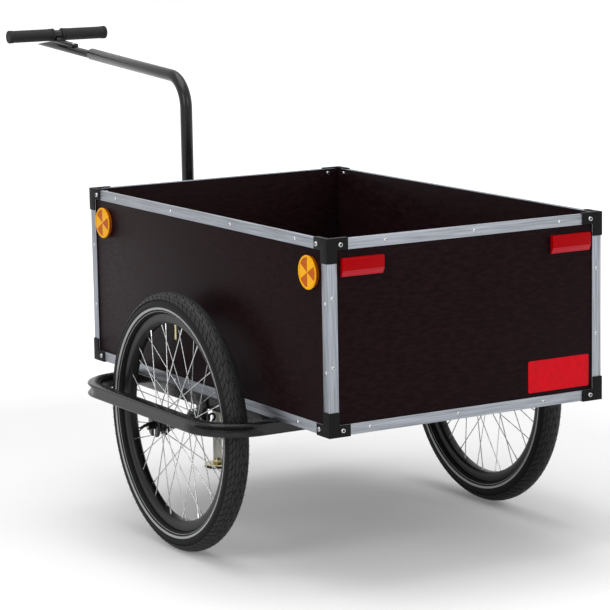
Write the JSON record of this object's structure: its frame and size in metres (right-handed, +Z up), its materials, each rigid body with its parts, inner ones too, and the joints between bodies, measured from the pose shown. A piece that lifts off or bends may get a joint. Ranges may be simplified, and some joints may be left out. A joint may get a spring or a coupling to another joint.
{
  "type": "bicycle cargo trailer",
  "caption": "Open box trailer on spoked wheels with tubular wheel guards, a raised drawbar with a pull handle and a sliding prop stand.",
  "frame": {"origin": "middle of the outline seen from above, on the floor the wheels and stand rest on", "axes": "+X direction of travel, from the load box towards the drawbar's coupling end; +Y left; +Z up"},
  "size_m": [1.8112, 0.887, 0.9277],
  "materials": {
    "film_faced_plywood": "phenolic film, semi-gloss",
    "aluminium_angle": "mill, lightly brushed",
    "black_plastic": "moulded, satin",
    "amber_plastic": "clear prismatic",
    "red_plastic": "clear prismatic",
    "red_label": "plain vinyl film",
    "black_enamel": "satin powder coat",
    "black_rim": "anodised black",
    "steel_wire": "drawn stainless wire",
    "black_alloy": "black anodised",
    "tyre_rubber": "moulded rubber",
    "bright_steel": "zinc plated",
    "grip_rubber": "matt, finely ribbed",
    "zinc_plated_steel": "zinc plated"
  },
  "bodies": {
    "chassis": {"floor_panel": "film_faced_plywood", "side_panel_left": "film_faced_plywood", "side_panel_right": "film_faced_plywood", "end_panel_front": "film_faced_plywood", "end_panel_rear": "film_faced_plywood", "cross_tube_front": "black_enamel", "cross_tube_rear": "black_enamel", "top_rails": "aluminium_angle", "bottom_rails": "aluminium_angle", "corner_posts": "aluminium_angle", "top_corner_caps": "black_plastic", "bottom_corner_caps": "black_plastic", "side_reflectors": "amber_plastic", "rear_reflectors": "red_plastic", "rear_label": "red_label", "guard_rail_left": "black_enamel", "guard_rail_right": "black_enamel", "inner_rail_left": "black_enamel", "inner_rail_right": "black_enamel", "dropouts_left": "black_enamel", "dropouts_right": "black_enamel", "axle_left": "bright_steel", "axle_right": "bright_steel", "quick_release_left": "black_plastic", "quick_release_right": "black_plastic", "drawbar_lower": "black_enamel", "drawbar_upper": "black_enamel", "drawbar_collar": "black_enamel", "drawbar_saddles": "black_enamel", "coupling_tube": "black_enamel", "handle_stem": "black_enamel", "handle_bar": "black_enamel", "grip_left": "grip_rubber", "grip_right": "grip_rubber", "stand_clamp": "black_enamel"},
    "left_wheel": {"tyre_left": "tyre_rubber", "rim_left": "black_rim", "spokes_left": "steel_wire", "hub_left": "black_alloy"},
    "right_wheel": {"tyre_right": "tyre_rubber", "rim_right": "black_rim", "spokes_right": "steel_wire", "hub_right": "black_alloy"},
    "stand": {"stand_leg": "zinc_plated_steel", "stand_foot": "zinc_plated_steel", "stand_pad": "grip_rubber"}
  },
  "joints": [
    {"name": "left_wheel_spin", "type": "hinge", "parent": "chassis", "child": "left_wheel", "pos_m": [-0.43258, 0.3545, 0.25], "axis": [0, 1, 0], "continuous": true},
    {"name": "right_wheel_spin", "type": "hinge", "parent": "chassis", "child": "right_wheel", "pos_m": [-0.43258, -0.3545, 0.25], "axis": [0, 1, 0], "continuous": true},
    {"name": "stand_slide", "type": "slide", "parent": "chassis", "child": "stand", "axis": [0, 0, 1], "range_m": [0, 0.18]}
  ]
}
